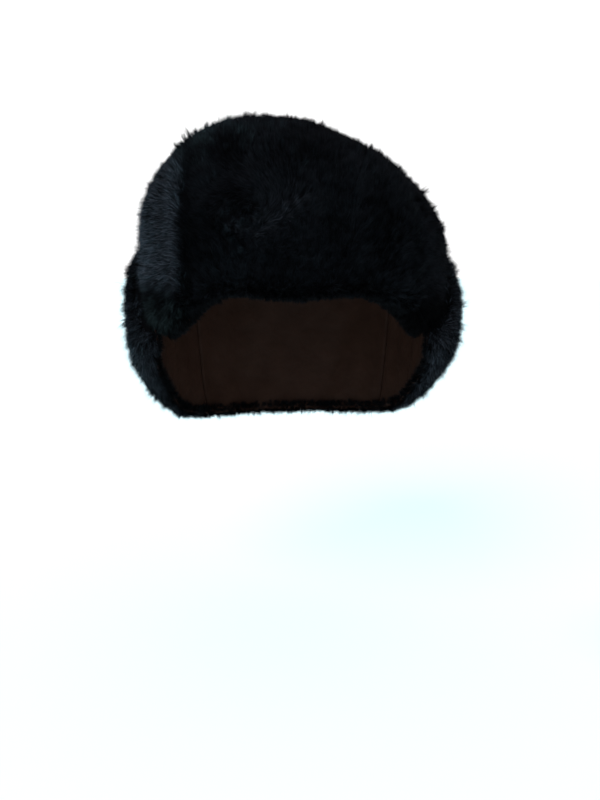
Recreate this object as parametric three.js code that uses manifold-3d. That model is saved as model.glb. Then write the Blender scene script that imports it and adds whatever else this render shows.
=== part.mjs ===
// Fur hat with ear flaps: front flap turned up, ear and neck flaps down and cupped, as it is worn.
// Millimetres, +Z up. The wearer faces -Y, so the wearer's right is at -X.
// The origin is the middle of the head opening, at the height of the front brim.
import * as THREE from 'three';
import Module from 'manifold-3d';

const wasm = await Module();
wasm.setup();

// Head opening and crown
const headHalfWidth = 79;
const headHalfLength = 99;
const ovalFullness = 2.3;
const crownRise = 88;

// Walls and fur, from the head outwards
const liningWall = 2.5;
const peltWall = 2.5;
const furPile = 16;
const flapPile = 15;
const frontBacking = 1.6;
const frontPile = 16;

// Seams and flaps
const seamRise = 28;
const shoulderRise = 4;
const templeDrop = 25;
const brimArch = 4;
const flapDrop = 100;
const earRoom = 16;
const flapFrontTurn = 72;
const flapSplitTurn = 130;
const frontFlapRise = 84;
const frontFlapLip = 1.5;

// Clearances: nested faces, a sewn seam, the turned-up flap on the crown, and the flap's sides
const nestGap = 0.3;
const seamGap = 0.8;
const frontGap = 0.9;
const sideGap = 1.5;

// Locks of fur: how far their tips hang along the hide, how deep the cleft between them is closed, how far
// their tips lean to the side, and how much their depth and hang differ
const lockHang = 7;
const underfurShare = 0.62;
const lockSway = 0.6;
const lockDepthSpread = 0.08;
const lockHangSpread = 0.35;

// Where the fur is rounded off: its share of the pile at the flap's front edge, at its hem and at the front
// flap's edges, and how much of the dome's way it takes to reach the full pile
const flapFrontShare = 0.75;
const hemShare = 0.7;
const frontEdgeShare = 0.7;
const frontEdgeReach = 0.25;
const domeFillWay = 0.7;

// Fineness of the faceted faces. Crown and ear flap fur has two locks for each step, both ways.
const turnStep = 12;
const crownRows = 6;
const frontColumns = 16;
const frontRows = 10;
const flapRows = 5;
const lockStep = 0.5;

// Start of the scatter of each fur's locks
const crownSalt = 1;
const frontSalt = 7;
const flapSalt = 13;

const furColour = 0x0b0c10;
const furRoughness = 0.95;
const liningColour = 0x2e1f19;
const liningRoughness = 0.55;
const backingRoughness = 0.7;

// Dome above the upright sides: level from the upright sides to the top, rise as a share of the dome, and
// reach to each side as a share of the head opening. The top leans to the wearer's right.
const domeRows = [
  { level: -1.0, rise: 0.0, right: 1.0, left: 1.0, front: 1.0, back: 1.0 },
  { level: 0.0, rise: 0.0, right: 1.0, left: 1.0, front: 1.0, back: 1.0 },
  { level: 0.18, rise: 0.24, right: 0.98, left: 0.89, front: 0.985, back: 0.99 },
  { level: 0.36, rise: 0.45, right: 0.92, left: 0.755, front: 0.94, back: 0.95 },
  { level: 0.54, rise: 0.645, right: 0.81, left: 0.54, front: 0.86, back: 0.87 },
  { level: 0.7, rise: 0.81, right: 0.68, left: 0.31, front: 0.74, back: 0.745 },
  { level: 0.84, rise: 0.92, right: 0.5, left: 0.1, front: 0.57, back: 0.57 },
  { level: 1.0, rise: 1.0, right: 0.2, left: -0.2, front: 0.0, back: 0.0 },
];

// Lower edge of the crown, from the front brim round to the back, as shares of the temple's drop below the
// origin (negative) or of the seam's rise above it (positive). The brim arches over the brow.
const seamRows = [
  { turn: 0, right: 0.0, left: 0.0, arch: 0.6 },
  { turn: 20, right: 0.0, left: 0.0, arch: 1.2 },
  { turn: 36, right: -0.25, left: -0.1, arch: 0.4 },
  { turn: 50, right: -0.66, left: -0.45, arch: 0.0 },
  { turn: 62, right: -0.92, left: -0.8, arch: 0.0 },
  { turn: 72, right: -1.0, left: -0.97, arch: 0.0 },
  { turn: 80, right: 0.0, left: 0.0, arch: 0.0 },
  { turn: 90, right: 1.0, left: 1.0, arch: 0.0 },
  { turn: 180, right: 1.0, left: 1.0, arch: 0.0 },
];

// Lower edge of the ear and neck flaps as a share of the flap's drop, and how much of the ear room each
// place has, both on the wearer's right and left
const hemRows = [
  { turn: 72, rightDrop: 0.34, leftDrop: 0.34, right: 0.62, left: 0.58 },
  { turn: 84, rightDrop: 0.5, leftDrop: 0.48, right: 0.8, left: 0.78 },
  { turn: 100, rightDrop: 0.76, leftDrop: 0.7, right: 0.85, left: 0.72 },
  { turn: 115, rightDrop: 0.94, leftDrop: 0.87, right: 0.85, left: 0.66 },
  { turn: 130, rightDrop: 0.98, leftDrop: 0.94, right: 0.8, left: 0.62 },
  { turn: 150, rightDrop: 1.0, leftDrop: 0.98, right: 0.68, left: 0.6 },
  { turn: 180, rightDrop: 1.0, leftDrop: 1.0, right: 0.6, left: 0.6 },
];

// Swell of the flaps from the seam down: how far under the seam's height, as a share of the whole reach
// from the seam to the lowest hem, and how far out, as a share of the ear room. They cup in again towards
// the hem.
const swellRows = [
  { down: 0.0, right: 0.0, left: 0.0 },
  { down: 0.06, right: 0.66, left: 0.4 },
  { down: 0.14, right: 0.9, left: 0.74 },
  { down: 0.22, right: 0.97, left: 0.92 },
  { down: 0.32, right: 1.0, left: 1.0 },
  { down: 0.46, right: 0.94, left: 0.9 },
  { down: 0.62, right: 0.8, left: 0.68 },
  { down: 0.78, right: 0.64, left: 0.4 },
  { down: 0.9, right: 0.4, left: 0.2 },
  { down: 1.0, right: 0.1, left: 0.0 },
];

// Turned-up front flap: how far its sides turn round the head at each level, and its top edge from the
// wearer's right (-1) to the left (1) as a share of its rise
const frontSideRows = [
  { level: -1.0, right: 39, left: 45 },
  { level: 0.0, right: 39, left: 46 },
  { level: 0.3, right: 44, left: 53 },
  { level: 0.5, right: 51, left: 61 },
  { level: 0.7, right: 60, left: 67 },
];
const frontTopRows = [
  { across: -1.0, top: 0.9 },
  { across: -0.75, top: 0.96 },
  { across: -0.2, top: 1.0 },
  { across: 0.3, top: 0.97 },
  { across: 0.7, top: 0.88 },
  { across: 1.0, top: 0.77 },
];

// Depth of the crown's fur beside the front flap and round to the ears, as a share of its pile
const furDepthRows = [
  { turn: 36, share: 0.5 },
  { turn: 50, share: 0.66 },
  { turn: 75, share: 0.95 },
  { turn: 90, share: 1.0 },
];

// Height at which the crown's upright sides turn into its dome
const straightRise = seamRise + shoulderRise;

// Where the pelt starts and ends, measured out from the inner face of the lining
const peltStart = liningWall + nestGap;
const peltEnd = peltStart + peltWall;

// The seam's two edges are trimmed to one line this far inside them
const seamTrim = 0.1;

// Reach of the cutting bodies past the hat: inwards, outwards, and up and down
const cutIn = -furPile;
const cutOut = 3 * furPile;
const cutHeight = 3 * flapDrop;

// Steps for directions and searches on the faces: degrees, levels and grid places
const turnProbe = 0.5;
const levelProbe = 0.01;
const placeProbe = 0.1;
const searchStep = 0.005;
const highestFlapTop = 0.97;
const wayParts = 20;

const lerp = THREE.MathUtils.lerp;
const clamp = THREE.MathUtils.clamp;

// Value of one column of a table at a place between its rows, by a cubic that never overshoots a row.
function read(rows, key, column, at) {
  const last = rows.length - 1;
  if (at <= rows[0][key]) return rows[0][column];
  if (at >= rows[last][key]) return rows[last][column];
  const k = rows.findIndex((row) => row[key] > at) - 1;
  const slope = (i) => (rows[i + 1][column] - rows[i][column]) / (rows[i + 1][key] - rows[i][key]);
  const tangent = (i) => {
    if (i === 0) return slope(0);
    if (i === last) return slope(last - 1);
    const before = slope(i - 1);
    const after = slope(i);
    return before * after <= 0 ? 0 : (2 * before * after) / (before + after);
  };
  const span = rows[k + 1][key] - rows[k][key];
  const t = (at - rows[k][key]) / span;
  const rest = 1 - t;
  return rows[k][column] * (1 + 2 * t) * rest * rest
    + rows[k + 1][column] * (3 - 2 * t) * t * t
    + tangent(k) * span * t * rest * rest
    - tangent(k + 1) * span * t * t * rest;
}

// Turn runs from -180 to 180 degrees: 0 at the front, positive towards +X, the wearer's left.
function sideOf(turn) {
  return turn < 0 ? 'right' : 'left';
}

function wrap(turn) {
  return THREE.MathUtils.euclideanModulo(turn + 180, 360) - 180;
}

function seamHeight(turn) {
  const at = Math.abs(wrap(turn));
  const share = read(seamRows, 'turn', sideOf(wrap(turn)), at);
  return share * (share < 0 ? templeDrop : seamRise) + brimArch * read(seamRows, 'turn', 'arch', at);
}

// Point on the inner face of the crown, without any thickness.
function crownFace(turn, level) {
  const angle = THREE.MathUtils.degToRad(turn);
  const power = 2 / ovalFullness;
  const sine = Math.sign(Math.sin(angle)) * Math.abs(Math.sin(angle)) ** power;
  const cosine = Math.sign(Math.cos(angle)) * Math.abs(Math.cos(angle)) ** power;
  const right = headHalfWidth * read(domeRows, 'level', 'right', level);
  const left = headHalfWidth * read(domeRows, 'level', 'left', level);
  const front = headHalfLength * read(domeRows, 'level', 'front', level);
  const back = headHalfLength * read(domeRows, 'level', 'back', level);
  const rise = read(domeRows, 'level', 'rise', level);
  return new THREE.Vector3(
    (left - right) / 2 + ((left + right) / 2) * sine,
    (back - front) / 2 - ((back + front) / 2) * cosine,
    straightRise + rise * (crownRise - straightRise),
  );
}

// Direction out of the crown. Its upright sides face level.
function outwards(turn, level) {
  if (level >= 1) return new THREE.Vector3(0, 0, 1);
  const onDome = Math.max(level, 0);
  const round = crownFace(turn + turnProbe, onDome).sub(crownFace(turn - turnProbe, onDome));
  if (level <= 0) return new THREE.Vector3(round.y, -round.x, 0).normalize();
  const above = crownFace(turn, Math.min(level + levelProbe, 1));
  const up = above.sub(crownFace(turn, Math.max(level - levelProbe, 0)));
  return round.cross(up).normalize();
}

// Point on the crown: level -1 at its lower edge, 0 at the top of the straight sides, 1 at the dome's top.
function crownPoint(turn, level, out, edge = seamHeight(turn)) {
  const point = crownFace(turn, level);
  if (level < 0) point.z = lerp(edge, straightRise, level + 1);
  return point.addScaledVector(outwards(turn, level), out);
}

// Point on an ear or neck flap: drop 0 at the seam, 1 at the hem.
function flapPoint(turn, drop, out) {
  const at = Math.abs(wrap(turn));
  const side = sideOf(wrap(turn));
  const hem = -flapDrop * read(hemRows, 'turn', `${side}Drop`, at);
  const z = lerp(seamHeight(turn) - seamGap, hem, drop);
  const room = earRoom * read(hemRows, 'turn', side, at);
  const down = (seamRise - z) / (seamRise + flapDrop);
  const leftShare = (1 + Math.sin(THREE.MathUtils.degToRad(turn))) / 2;
  const right = read(swellRows, 'down', 'right', down);
  const left = read(swellRows, 'down', 'left', down);
  const swell = room * lerp(right, left, leftShare);
  return crownFace(turn, 0).setZ(z).addScaledVector(outwards(turn, 0), out + swell);
}

// Level on the crown at a share of the way up a strip that starts below the front brim and ends at a height
// on the dome. Drop is how far under the brim it starts.
function frontLevel(topHeight, up, drop) {
  const domeShare = clamp((topHeight - straightRise) / (crownRise - straightRise), 0, highestFlapTop);
  let top = 0;
  while (read(domeRows, 'level', 'rise', top) < domeShare) top += searchStep;
  const straight = straightRise + drop;
  const height = up * (topHeight + drop);
  if (height < straight) return height / straight - 1;
  return (top * (height - straight)) / (topHeight - straightRise);
}

// Height of the front flap's top edge.
function frontTop(across) {
  return frontFlapRise * read(frontTopRows, 'across', 'top', across);
}

// Point on the turned-up front flap, by the columns and rows of its grid. Grow widens its outline.
function frontPoint(column, row, out, grow = 0) {
  const across = (2 * column) / frontColumns - 1;
  const drop = frontFlapLip + grow;
  const level = frontLevel(frontTop(across) + grow, row / frontRows, drop);
  const growTurn = THREE.MathUtils.radToDeg(grow / headHalfLength);
  const side = read(frontSideRows, 'level', sideOf(across), level) + growTurn;
  return crownPoint(across * side, level, out, seamHeight(across * side) - drop);
}

// Closed solid from points and faces, turned so that its faces point out.
function solid(points, faces) {
  const part = ([a, b, c]) => points[a].dot(points[b].clone().cross(points[c]));
  const volume = faces.reduce((sum, face) => sum + part(face), 0);
  const turned = volume < 0 ? faces.map(([a, b, c]) => [a, c, b]) : faces;
  const mesh = new wasm.Mesh({
    numProp: 3,
    vertProperties: new Float32Array(points.flatMap((point) => point.toArray())),
    triVerts: new Uint32Array(turned.flat()),
  });
  return new wasm.Manifold(mesh);
}

// Closed wall between an inner and an outer face on one grid. A ring closes round its columns, and a dome
// ends its last row in one point on each face. With locks, each cell of the outer grid is drawn out to the
// tip that lock gives, or is left plain where it gives none. Step is the outer grid's step: 1, or a half for
// twice as fine.
function wall(columns, rows, place, { ring = false, dome = false, lock = null, step = 1 } = {}) {
  const points = [];
  const faces = [];
  const index = new Map();
  const id = (column, row, side) => {
    const wrapped = ring ? column % columns : column;
    const name = dome && row === rows ? `top ${side}` : `${wrapped} ${row} ${side}`;
    if (!index.has(name)) {
      index.set(name, points.length);
      points.push(place(wrapped, row, side));
    }
    return index.get(name);
  };
  const add = (...face) => {
    if (new Set(face).size === 3) faces.push(face);
  };
  const fan = (first, ...rest) => {
    for (let k = 0; k < rest.length - 1; k += 1) add(first, rest[k], rest[k + 1]);
  };
  for (let column = 0; column < columns; column += step) {
    for (let row = 0; row < rows; row += step) {
      const corners = [
        id(column, row, 1),
        id(column + step, row, 1),
        id(column + step, row + step, 1),
        id(column, row + step, 1),
      ];
      const tip = lock ? lock(column + step / 2, row + step / 2) : null;
      if (tip) {
        const last = points.push(tip) - 1;
        corners.forEach((corner, k) => add(corner, corners[(k + 1) % 4], last));
      } else {
        fan(...corners);
      }
    }
  }
  for (let column = 0; column < columns; column += 1) {
    for (let row = 0; row < rows; row += 1) {
      fan(id(column, row, 0), id(column, row + 1, 0), id(column + 1, row + 1, 0), id(column + 1, row, 0));
    }
  }
  // The edges of the wall join one inner step to one or two outer ones.
  const stations = step === 1 ? [0, 1] : [0, step, 1];
  for (let column = 0; column < columns; column += 1) {
    const bottom = stations.map((part) => id(column + part, 0, 1));
    fan(id(column, 0, 0), id(column + 1, 0, 0), ...bottom.reverse());
    if (!dome) {
      const top = stations.map((part) => id(column + part, rows, 1));
      fan(id(column, rows, 0), ...top, id(column + 1, rows, 0));
    }
  }
  if (!ring) {
    for (let row = 0; row < rows; row += 1) {
      const start = stations.map((part) => id(0, row + part, 1));
      fan(id(0, row, 0), ...start, id(0, row + 1, 0));
      const end = stations.map((part) => id(columns, row + part, 1));
      fan(id(columns, row, 0), id(columns, row + 1, 0), ...end.reverse());
    }
  }
  return solid(points, faces);
}

// Repeatable scatter between -1 and 1 for a lock's number.
function scatter(number, salt) {
  const wave = Math.sin(number * 12.9898 + salt * 78.233) * 43758.5453;
  return 2 * (wave - Math.floor(wave)) - 1;
}

// Value at a place between the entries of a list.
function between(list, place) {
  const k = Math.min(Math.floor(place), list.length - 2);
  return lerp(list[k], list[k + 1], place - k);
}

// Tip of the lock at a place of a face: face(column, row, out) is a point of the face, rows run up the hide
// when up is 1 and down it when up is -1, and sway is how far the tip may lean to the side.
function lockTip(face, column, row, depth, up, salt, sway = lockSway) {
  const number = column * 71 + row * 13;
  const out = depth * (1 + lockDepthSpread * scatter(number, salt));
  const hang = lockHang * (1 + lockHangSpread * scatter(number, salt + 1));
  const side = face(column + placeProbe, row, out).sub(face(column - placeProbe, row, out)).normalize();
  const lower = face(column, row - placeProbe * up, out);
  const down = lower.sub(face(column, row + placeProbe * up, out)).normalize();
  return face(column, row, out)
    .addScaledVector(down, hang)
    .addScaledVector(side, lockHang * sway * scatter(number, salt + 2));
}

// Turns of the grid round the hat, twice as close where the seam climbs behind the temples.
const ringTurns = [];
for (let turn = 0; turn < 360; turn += turnStep) {
  ringTurns.push(turn);
  const next = Math.abs(wrap(turn + turnStep / 2));
  if (Math.abs(next - flapFrontTurn - turnStep) < turnStep) ringTurns.push(turn + turnStep / 2);
}
const closedTurns = [...ringTurns, 360];

// Way over the dome from its upright sides to its top, measured up the back
let domeWay = 0;
for (let k = 0; k < wayParts; k += 1) {
  domeWay += crownFace(180, k / wayParts).distanceTo(crownFace(180, (k + 1) / wayParts));
}

// Level of a row of the crown's grid: the rows stand equally far apart from the lower edge to the top.
function rowLevel(turn, row) {
  const upright = straightRise - seamHeight(turn);
  const way = (row / crownRows) * (upright + domeWay);
  return way < upright ? way / upright - 1 : (way - upright) / domeWay;
}

// Depth of the closed fur and of the tips of its locks, measured out from the lining's inner face.
function furDepth(start, pile) {
  return { under: start + underfurShare * pile, tip: start + pile };
}

// Whether a place of the crown lies behind the turned-up front flap.
function behindFlap(turn, level) {
  const across = wrap(turn) / read(frontSideRows, 'level', sideOf(wrap(turn)), level);
  return Math.abs(across) < 1 && crownFace(turn, level).z < frontTop(across);
}

function crownFurDepth(turn, level) {
  if (behindFlap(turn, level)) return furDepth(peltEnd, 0);
  const beside = read(furDepthRows, 'turn', 'share', Math.abs(wrap(turn)));
  return furDepth(peltEnd, furPile * lerp(beside, 1, clamp(level / domeFillWay, 0, 1)));
}

// A thick ring round the hat between two heights, each a function of the turn.
function cuttingRing(low, high) {
  const place = (column, row, side) => {
    const turn = ringTurns[column];
    return crownPoint(turn, 0, side ? cutOut : cutIn).setZ(row ? high(turn) : low(turn));
  };
  return wall(ringTurns.length, 1, place, { ring: true });
}

const belowSeam = cuttingRing(() => -cutHeight, (turn) => seamHeight(turn) + seamTrim);
const aboveFlaps = cuttingRing((turn) => seamHeight(turn) - seamGap - seamTrim, () => cutHeight);

function crownLining() {
  const place = (column, row, side) => {
    const turn = ringTurns[column];
    return crownPoint(turn, rowLevel(turn, row), side * liningWall);
  };
  return wall(ringTurns.length, crownRows, place, { ring: true, dome: true }).subtract(belowSeam);
}

// The crown's pelt and fur, with a pocket in which the turned-up front flap lies.
function crownFur() {
  const at = (column, row, out) => {
    const turn = between(closedTurns, column);
    return crownPoint(turn, rowLevel(turn, row), out);
  };
  const depth = (column, row) => {
    const turn = between(closedTurns, column);
    return crownFurDepth(turn, rowLevel(turn, row));
  };
  const place = (column, row, side) => at(column, row, side ? depth(column, row).under : peltStart);
  const lock = (column, row) => {
    const { under, tip } = depth(column, row);
    return tip > under ? lockTip(at, column, row, tip, 1, crownSalt) : null;
  };
  const fur = wall(ringTurns.length, crownRows, place, { ring: true, dome: true, lock, step: lockStep });
  const pocketStart = peltEnd + nestGap / 2;
  const pocketPlace = (column, row, side) => frontPoint(column, row, side ? cutOut : pocketStart, sideGap);
  return fur.subtract(wall(frontColumns, frontRows, pocketPlace)).subtract(belowSeam);
}

const backingStart = peltEnd + frontGap;
const frontFurStart = backingStart + frontBacking + nestGap;

function frontFlapBacking() {
  const place = (column, row, side) => frontPoint(column, row, backingStart + side * frontBacking);
  return wall(frontColumns, frontRows, place);
}

// Share of the pile at a place between the two edges of the front flap, both ways.
function frontShare(place, whole) {
  const fromEdge = Math.min(place, whole - place) / whole;
  return lerp(frontEdgeShare, 1, clamp((2 * fromEdge) / frontEdgeReach, 0, 1));
}

function frontFlapFur() {
  const depth = (column, row) => {
    const share = frontShare(column, frontColumns) * frontShare(row, frontRows);
    return furDepth(frontFurStart, frontPile * share);
  };
  const place = (column, row, side) => {
    return frontPoint(column, row, side ? depth(column, row).under : frontFurStart);
  };
  const lock = (column, row) => {
    const beside = Math.min(column, frontColumns - column) < 1;
    return lockTip(frontPoint, column, row, depth(column, row).tip, 1, frontSalt, beside ? 0 : lockSway);
  };
  // The locks stay inside the flap's sides and top, and hang free under it.
  const inside = (column, row, side) => {
    const point = frontPoint(column, row, side ? cutOut : frontFurStart - nestGap / 2, sideGap / 2);
    return row === 0 ? point.setZ(point.z - 2 * lockHang) : point;
  };
  return wall(frontColumns, frontRows, place, { lock }).intersect(wall(frontColumns, frontRows, inside));
}

// Turns of one flap's grid: the ring's own, between its two ends.
function turnsBetween(from, to) {
  const inside = ringTurns.filter((turn) => turn > from + turnStep / 4 && turn < to - turnStep / 4);
  return [from, ...inside, to];
}

function flapLining(from, to) {
  const turns = turnsBetween(from, to);
  const place = (column, row, side) => flapPoint(turns[column], row / flapRows, side * liningWall);
  return wall(turns.length - 1, flapRows, place).subtract(aboveFlaps);
}

// Everything round the hat between two turns.
function sector(from, to) {
  const turns = turnsBetween(from, to);
  const place = (column, row, side) => {
    return crownPoint(turns[column], 0, side ? cutOut : cutIn).setZ(row ? cutHeight : -cutHeight);
  };
  return wall(turns.length - 1, 1, place);
}

// A flap's pelt and fur. Its locks stay on their own side of the splits, and lean past its free front edge.
function flapFur(from, to) {
  const turns = turnsBetween(from, to);
  const depth = (column, row) => {
    const fromFront = Math.abs(wrap(between(turns, column))) - flapFrontTurn;
    const front = lerp(flapFrontShare, 1, clamp(fromFront / turnStep, 0, 1));
    const hem = lerp(1, hemShare, clamp(row - flapRows + 1, 0, 1));
    return furDepth(peltEnd, flapPile * front * hem);
  };
  const at = (column, row, out) => flapPoint(between(turns, column), row / flapRows, out);
  const place = (column, row, side) => at(column, row, side ? depth(column, row).under : peltStart);
  const lock = (column, row) => lockTip(at, column, row, depth(column, row).tip, -1, flapSalt);
  const fur = wall(turns.length - 1, flapRows, place, { lock, step: lockStep });
  const free = sector(from === flapFrontTurn ? 0 : from, to === 360 - flapFrontTurn ? 360 : to);
  return fur.subtract(aboveFlaps).intersect(free);
}

function named(name, manifold, color, roughness) {
  const { vertProperties, triVerts, numProp } = manifold.getMesh();
  const geometry = new THREE.BufferGeometry();
  const count = vertProperties.length / numProp;
  const position = new Float32Array(count * 3);
  for (let k = 0; k < count; k += 1) {
    position.set(vertProperties.subarray(k * numProp, k * numProp + 3), k * 3);
  }
  geometry.setAttribute('position', new THREE.BufferAttribute(position, 3));
  geometry.setIndex(new THREE.BufferAttribute(new Uint32Array(triVerts), 1));
  const mesh = new THREE.Mesh(geometry, new THREE.MeshStandardMaterial({ color, roughness, metalness: 0 }));
  mesh.name = name;
  return mesh;
}

// The ear and neck flaps part at the splits, half a seam gap to each side
const splitMargin = THREE.MathUtils.radToDeg(seamGap / 2 / headHalfLength);
const flapParts = [
  { name: 'ear_flap_left', from: flapFrontTurn, to: flapSplitTurn - splitMargin },
  { name: 'neck_flap', from: flapSplitTurn + splitMargin, to: 360 - flapSplitTurn - splitMargin },
  { name: 'ear_flap_right', from: 360 - flapSplitTurn + splitMargin, to: 360 - flapFrontTurn },
];

const hat = new THREE.Group();
hat.add(named('crown_lining', crownLining(), liningColour, liningRoughness));
hat.add(named('crown_fur', crownFur(), furColour, furRoughness));
hat.add(named('front_flap_backing', frontFlapBacking(), liningColour, backingRoughness));
hat.add(named('front_flap_fur', frontFlapFur(), furColour, furRoughness));
for (const { name, from, to } of flapParts) {
  hat.add(named(`${name}_lining`, flapLining(from, to), liningColour, liningRoughness));
  hat.add(named(`${name}_fur`, flapFur(from, to), furColour, furRoughness));
}

export default hat;
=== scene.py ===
"""Fur hat with ear flaps and a turned-up front flap: its fur, pelts and linings, built round its frame."""

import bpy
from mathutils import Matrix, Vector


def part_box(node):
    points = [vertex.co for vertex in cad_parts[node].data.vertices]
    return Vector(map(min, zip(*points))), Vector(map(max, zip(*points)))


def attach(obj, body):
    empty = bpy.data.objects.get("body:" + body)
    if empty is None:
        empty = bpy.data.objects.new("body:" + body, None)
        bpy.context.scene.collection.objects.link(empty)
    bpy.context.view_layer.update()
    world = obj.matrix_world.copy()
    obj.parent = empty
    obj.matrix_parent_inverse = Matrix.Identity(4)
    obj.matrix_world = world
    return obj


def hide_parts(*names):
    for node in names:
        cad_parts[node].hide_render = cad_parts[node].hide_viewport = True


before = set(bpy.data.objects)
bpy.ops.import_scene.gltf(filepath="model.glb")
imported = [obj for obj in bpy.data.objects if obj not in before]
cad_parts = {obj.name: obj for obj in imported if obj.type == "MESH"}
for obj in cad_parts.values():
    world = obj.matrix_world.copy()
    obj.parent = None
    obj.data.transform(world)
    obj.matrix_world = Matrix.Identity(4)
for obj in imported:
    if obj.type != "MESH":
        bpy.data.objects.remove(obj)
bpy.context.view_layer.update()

import copy
import math

import bpy
import numpy as np
from bpy.props import FloatProperty, FloatVectorProperty, IntProperty, PointerProperty
from bpy.types import Operator, Panel, PropertyGroup
from mathutils import Vector, kdtree

bl_info = {
    "name": "Fur Hat with Ear Flaps",
    "version": (1, 0, 0),
    "blender": (4, 5, 0),
    "location": "3D View > Sidebar > Fur Hat",
    "description": "Builds the fur, pelts and linings of a fur hat with ear flaps round its frame",
    "category": "Add Mesh",
}

MM = 0.001
LINING_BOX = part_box("crown_lining")
NECK_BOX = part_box("neck_flap_lining")

# Walls and clearances, which follow the frame's
LINING_WALL = 2.5 * MM
PELT_WALL = 2.5 * MM
FRONT_BACKING = 1.6 * MM
NEST_GAP = 0.3 * MM
SEAM_GAP = 0.8 * MM
FRONT_GAP = 0.9 * MM
FRONT_LIP = 1.5 * MM
PELT_START = LINING_WALL + NEST_GAP
PELT_END = PELT_START + PELT_WALL
FRONT_START = PELT_END + FRONT_GAP + FRONT_BACKING + NEST_GAP
SHOULDER_RISE = 4 * MM
BRIM_ARCH = 4 * MM
OVAL_FULLNESS = 2.3
FLAP_FRONT_TURN = 72
FLAP_SPLIT_TURN = 130
DOME_END = 0.99
HIGHEST_FLAP_TOP = 0.97
# Least depth that a rounded edge is left with
THINNEST = 0.05 * MM
# Turns between which the crown creases over an ear flap: where it begins, is full, fades and ends
CREASE_TURNS = (FLAP_FRONT_TURN, FLAP_FRONT_TURN + 8, 90, 98)
FLAPS = ("ear_flap_left", "neck_flap", "ear_flap_right")


def table(columns, *rows):
    """Named columns of a short table as arrays."""
    return dict(zip(columns.split(), np.array(rows, float).T))


# Dome above the upright sides: level, rise as a share of the dome, and reach to each side as a share of the
# opening
DOME = table(
    "level rise right left front back",
    (-1.0, 0.0, 1.0, 1.0, 1.0, 1.0),
    (0.0, 0.0, 1.0, 1.0, 1.0, 1.0),
    (0.18, 0.24, 0.98, 0.89, 0.985, 0.99),
    (0.36, 0.45, 0.92, 0.755, 0.94, 0.95),
    (0.54, 0.645, 0.81, 0.54, 0.86, 0.87),
    (0.7, 0.81, 0.68, 0.31, 0.74, 0.745),
    (0.84, 0.92, 0.5, 0.1, 0.57, 0.57),
    (1.0, 1.0, 0.2, -0.2, 0.0, 0.0),
)
# Lower edge of the crown: a share of the temple's drop where negative, and of the seam's rise where positive
SEAM = table(
    "turn right left arch",
    (0, 0.0, 0.0, 0.6),
    (20, 0.0, 0.0, 1.2),
    (36, -0.25, -0.1, 0.4),
    (50, -0.66, -0.45, 0.0),
    (62, -0.92, -0.8, 0.0),
    (72, -1.0, -0.97, 0.0),
    (80, 0.0, 0.0, 0.0),
    (90, 1.0, 1.0, 0.0),
    (180, 1.0, 1.0, 0.0),
)
# Hem of the ear and neck flaps, and each place's share of the ear room
HEM = table(
    "turn right_drop left_drop right left",
    (72, 0.34, 0.34, 0.62, 0.58),
    (84, 0.5, 0.48, 0.8, 0.78),
    (100, 0.76, 0.7, 0.85, 0.72),
    (115, 0.94, 0.87, 0.85, 0.66),
    (130, 0.98, 0.94, 0.8, 0.62),
    (150, 1.0, 0.98, 0.68, 0.6),
    (180, 1.0, 1.0, 0.6, 0.6),
)
# Swell of the flaps from the seam down, as a share of the ear room
SWELL = table(
    "down right left",
    (0.0, 0.0, 0.0),
    (0.06, 0.66, 0.4),
    (0.14, 0.9, 0.74),
    (0.22, 0.97, 0.92),
    (0.32, 1.0, 1.0),
    (0.46, 0.94, 0.9),
    (0.62, 0.8, 0.68),
    (0.78, 0.64, 0.4),
    (0.9, 0.4, 0.2),
    (1.0, 0.1, 0.0),
)
# Sides of the turned-up front flap, in degrees of turn at each level, and its top edge as a share of its rise
FRONT_SIDE = table("level right left", (-1, 39, 45), (0, 39, 46), (0.3, 44, 53), (0.5, 51, 61), (0.7, 60, 67))
FRONT_TOP = table("across top", (-1, 0.9), (-0.75, 0.96), (-0.2, 1.0), (0.3, 0.97), (0.7, 0.88), (1, 0.77))
# Depth of the crown's fur beside the front flap and round to the ears, as a share of its pile
FUR_DEPTH = table("turn share", (36, 0.5), (50, 0.66), (75, 0.95), (90, 1.0))
# Front flap's swirl, seen from the front, in millimetres: the wisps that curl round it, which the lay follows
# and which carry painted sheen, and the places where the fur parts, which carry painted shade
WISPS = table("x z", (-35, 41), (-27, 37), (-20, 36), (-13, 39), (-6, 44), (0, 48), (6, 52))
PARTINGS = table("x z reach", (-24, 52, 7), (-30, 76, 11))

# How tufts, and the hairs in them, differ: turn and lean in radians, size and tone as shares
TUFT_SPREAD = {"turn": 0.6, "lean": 0.1, "size": 0.12, "tone": 0.14}
HAIR_SPREAD = {"turn": 0.7, "lean": 0.13, "size": 0.12, "tone": 0.42}
# Share of the spreads of turn and tone that fur without painted light shows, and what painted light adds to
# it
DARK_SPREAD = 0.5
LIGHT_SPREAD = 0.4
# Wandering over a hide: how far, the size of its waves as a share of the ruffle length, and its seed
WANDER = {
    "lay": (0.45, 1.0, 11),
    "fine lay": (0.25, 0.4, 12),
    "lean": (0.1, 0.5, 21),
    "size": (0.05, 0.4, 22),
    "tone": (0.14, 1.5, 23),
}
# Start of each fur's random draws, beyond the look's own seed
SEEDS = {
    "crown_hair_right": 1,
    "crown_hair_left": 2,
    "front_flap_hair": 3,
    "ear_flap_left_hair": 4,
    "neck_flap_hair": 5,
    "ear_flap_right_hair": 6,
    "front_fold_hair": 8,
    "ear_flap_left_edge_hair": 14,
    "neck_flap_edge_hair": 15,
    "ear_flap_right_edge_hair": 16,
}
FEWEST_TUFTS = 8
# Depth of a hair's root in the underfur, as a share of its length
SUNK_SHARE = 0.2
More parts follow.
